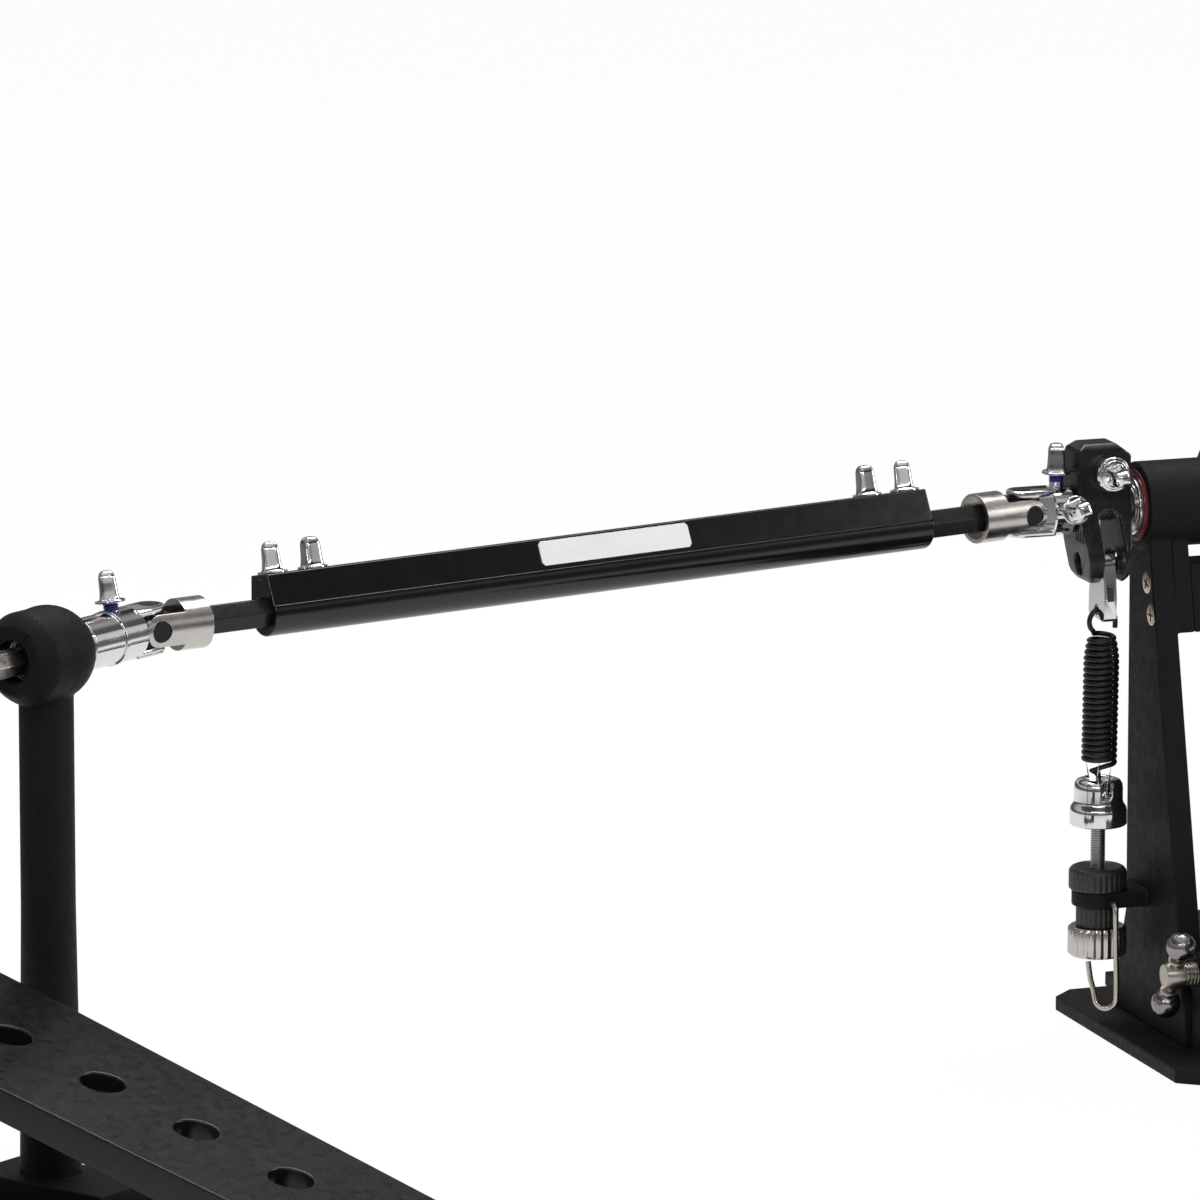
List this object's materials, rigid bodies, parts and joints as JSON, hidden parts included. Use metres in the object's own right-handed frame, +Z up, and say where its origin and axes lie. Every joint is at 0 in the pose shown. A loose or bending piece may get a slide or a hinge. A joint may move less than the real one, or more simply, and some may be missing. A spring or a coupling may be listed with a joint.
{
  "type": "double bass drum pedal",
  "caption": "Double bass drum pedal: main pedal with beaters, return springs and hoop clamp, slave pedal, and a telescoping drive shaft with a universal joint at each end.",
  "frame": {"origin": "on the floor under the middle of the main pedal's axle", "axes": "+X along the main axle to the player's right, +Y forward to the drum, +Z up"},
  "size_m": [0.661, 0.4554, 0.3427],
  "materials": {
    "powder_black": "fine textured powder coat",
    "cast_black": "satin black casting",
    "black_oxide": "black oxide",
    "anodised": "gloss black anodised",
    "chrome": "polished",
    "satin_nickel": "satin",
    "steel": "machined",
    "link_aluminium": "satin",
    "label": "satin silver, blank",
    "seal_red": "matt",
    "beater_felt": "felt"
  },
  "bodies": {
    "main_frame": {"main_base": "powder_black", "main_heel": "cast_black", "main_heel_pin": "steel", "left_tower": "powder_black", "right_tower": "powder_black", "tower_bridge": "powder_black", "bridge_screws": "steel", "bearing_races": "chrome", "bearing_seals": "seal_red", "spring_caps": "chrome", "spring_spacers": "black_oxide", "clip_wires": "steel"},
    "main_footboard": {"main_board": "cast_black", "main_toe_clevis": "chrome"},
    "main_axle": {"main_axle_bar": "steel", "main_hub": "cast_black", "main_arm": "cast_black", "right_rocker": "cast_black", "main_axle_bolts": "chrome"},
    "main_link": {"main_link": "link_aluminium"},
    "main_beater": {"main_beater_rod": "chrome", "main_beater_head": "beater_felt"},
    "aux_axle": {"aux_axle_bar": "steel", "aux_hub": "cast_black", "left_rocker": "cast_black", "aux_yoke": "chrome", "aux_axle_bolts": "chrome"},
    "aux_beater": {"aux_beater_rod": "chrome", "aux_beater_head": "beater_felt"},
    "left_hanger_body": {"left_hanger": "chrome"},
    "right_hanger_body": {"right_hanger": "chrome"},
    "left_spring_body": {"left_spring": "black_oxide"},
    "right_spring_body": {"right_spring": "black_oxide"},
    "left_knob_body": {"left_knob": "black_oxide"},
    "right_knob_body": {"right_knob": "black_oxide"},
    "left_nut_body": {"left_nut": "chrome"},
    "right_nut_body": {"right_nut": "chrome"},
    "clamp_lever_body": {"clamp_lever": "powder_black"},
    "clamp_screw_body": {"clamp_screw": "steel"},
    "drive_shaft": {"drive_tube": "anodised", "label_plate": "label", "right_rod": "black_oxide", "right_yoke": "satin_nickel", "tube_bolts": "chrome"},
    "left_rod_half": {"left_rod": "black_oxide", "left_yoke": "satin_nickel"},
    "left_cross": {"left_cross": "steel"},
    "right_cross": {"right_cross": "steel"},
    "slave_frame": {"slave_base": "powder_black", "slave_heel": "cast_black", "slave_heel_pin": "steel", "slave_post": "powder_black", "slave_races": "chrome"},
    "slave_footboard": {"slave_board": "cast_black", "slave_toe_clevis": "chrome"},
    "slave_axle": {"slave_axle_bar": "steel", "slave_arm": "cast_black", "slave_axle_yoke": "chrome", "slave_axle_bolts": "chrome"},
    "slave_link": {"slave_link": "link_aluminium"}
  },
  "joints": [
    {"name": "main_pedal", "type": "hinge", "parent": "main_frame", "child": "main_footboard", "pos_m": [0, -0.19617, 0.028], "axis": [-1, 0, 0], "range_deg": [0, 5.45]},
    {"name": "slave_pedal", "type": "hinge", "parent": "slave_frame", "child": "slave_footboard", "pos_m": [-0.41095, -0.31085, 0.028], "axis": [-0.8339, -0.5519, 0], "range_deg": [0, 5.45]},
    {"name": "main_axle_turn", "type": "hinge", "parent": "main_frame", "child": "main_axle", "pos_m": [0, 0, 0.18], "axis": [-1, 0, 0], "range_deg": [0, 42.01], "stiffness_Nm_per_rad": 0.3, "springref_deg": -25.78},
    {"name": "main_link_swing", "type": "hinge", "parent": "main_axle", "child": "main_link", "pos_m": [0, 0.02801, 0.19075], "axis": [1, 0, 0], "range_deg": [0, 44.29]},
    {"name": "slave_axle_turn", "type": "hinge", "parent": "slave_frame", "child": "slave_axle", "pos_m": [-0.51922, -0.14727, 0.18], "axis": [-0.8339, -0.5519, 0], "range_deg": [0, 42.01]},
    {"name": "slave_link_swing", "type": "hinge", "parent": "slave_axle", "child": "slave_link", "pos_m": [-0.53468, -0.12392, 0.19075], "axis": [0.8339, 0.5519, 0], "range_deg": [0, 44.29]},
    {"name": "left_cross_turn", "type": "hinge", "parent": "slave_axle", "child": "left_cross", "pos_m": [-0.42916, -0.08766, 0.18], "axis": [0, 0, 1], "range_deg": [0, 4.55]},
    {"name": "left_rod_turn", "type": "hinge", "parent": "slave_frame", "child": "left_rod_half", "pos_m": [-0.42916, -0.08766, 0.18], "axis": [-0.9659, -0.2588, 0], "range_deg": [0, 40.5]},
    {"name": "shaft_turn", "type": "hinge", "parent": "main_frame", "child": "drive_shaft", "pos_m": [-0.102, 0, 0.18], "axis": [-0.9659, -0.2588, 0], "range_deg": [0, 40.5]},
    {"name": "aux_axle_turn", "type": "hinge", "parent": "main_frame", "child": "aux_axle", "pos_m": [-0.07, 0, 0.18], "axis": [-1, 0, 0], "range_deg": [0, 41.49], "stiffness_Nm_per_rad": 0.3, "springref_deg": -25.78},
    {"name": "right_cross_turn", "type": "hinge", "parent": "aux_axle", "child": "right_cross", "pos_m": [-0.102, 0, 0.18], "axis": [0, 0, -1], "range_deg": [0, 3.66]},
    {"name": "right_spring_tilt", "type": "hinge", "parent": "main_frame", "child": "right_spring_body", "pos_m": [0.0745, -0.0028, 0.087], "axis": [1, 0, 0], "range_deg": [0, 7.15]},
    {"name": "right_spring_stretch", "type": "slide", "parent": "right_spring_body", "child": "right_hanger_body", "axis": [0, -0.0372, 0.9993], "range_m": [0, 0.00948], "deforming": ["right_spring"]},
    {"name": "left_spring_tilt", "type": "hinge", "parent": "main_frame", "child": "left_spring_body", "pos_m": [-0.0745, -0.0028, 0.087], "axis": [1, 0, 0], "range_deg": [0, 7.1]},
    {"name": "left_spring_stretch", "type": "slide", "parent": "left_spring_body", "child": "left_hanger_body", "axis": [0, -0.0372, 0.9993], "range_m": [0, 0.00932], "deforming": ["left_spring"]},
    {"name": "main_beater_height", "type": "slide", "parent": "main_axle", "child": "main_beater", "axis": [0, -0.6428, 0.766], "range_m": [-0.01, 0.015]},
    {"name": "aux_beater_height", "type": "slide", "parent": "aux_axle", "child": "aux_beater", "axis": [0, -0.6428, 0.766], "range_m": [-0.01, 0.015]},
    {"name": "left_knob_turn", "type": "hinge", "parent": "main_frame", "child": "left_knob_body", "pos_m": [-0.0745, -0.0028, 0.057], "axis": [0, 0, 1], "continuous": true},
    {"name": "left_nut_turn", "type": "hinge", "parent": "main_frame", "child": "left_nut_body", "pos_m": [-0.0745, -0.0028, 0.032], "axis": [0, 0, 1], "continuous": true},
    {"name": "right_knob_turn", "type": "hinge", "parent": "main_frame", "child": "right_knob_body", "pos_m": [0.0745, -0.0028, 0.057], "axis": [0, 0, 1], "continuous": true},
    {"name": "right_nut_turn", "type": "hinge", "parent": "main_frame", "child": "right_nut_body", "pos_m": [0.0745, -0.0028, 0.032], "axis": [0, 0, 1], "continuous": true},
    {"name": "clamp_open", "type": "hinge", "parent": "main_frame", "child": "clamp_lever_body", "pos_m": [0, -0.005, 0.0205], "axis": [1, 0, 0], "range_deg": [0, 6]},
    {"name": "clamp_screw_back", "type": "slide", "parent": "main_frame", "child": "clamp_screw_body", "axis": [-1, 0, 0], "range_m": [0, 0.00481]},
    {"name": "shaft_length", "type": "slide", "parent": "main_frame", "child": "slave_frame", "axis": [0.9659, 0.2588, 0], "range_m": [-0.03, 0.012]}
  ],
  "couplings": [
    {"joint": "right_spring_tilt", "follows": "main_pedal", "ratio": 1.3086},
    {"joint": "right_spring_stretch", "follows": "main_pedal", "m_per_rad": 0.099583},
    {"joint": "left_spring_tilt", "follows": "slave_pedal", "ratio": 1.3005},
    {"joint": "left_spring_stretch", "follows": "slave_pedal", "m_per_rad": 0.097882},
    {"joint": "main_axle_turn", "follows": "main_pedal", "ratio": 7.703},
    {"joint": "main_link_swing", "follows": "main_pedal", "ratio": 8.1212},
    {"joint": "slave_axle_turn", "follows": "slave_pedal", "ratio": 7.703},
    {"joint": "slave_link_swing", "follows": "slave_pedal", "ratio": 8.1212},
    {"joint": "left_cross_turn", "follows": "slave_pedal", "ratio": 0.832},
    {"joint": "left_rod_turn", "follows": "slave_pedal", "ratio": 7.4267},
    {"joint": "shaft_turn", "follows": "slave_pedal", "ratio": 7.4267},
    {"joint": "aux_axle_turn", "follows": "slave_pedal", "ratio": 7.607},
    {"joint": "right_cross_turn", "follows": "slave_pedal", "ratio": 0.66916},
    {"joint": "clamp_screw_back", "follows": "clamp_open", "m_per_rad": 0.045837}
  ]
}
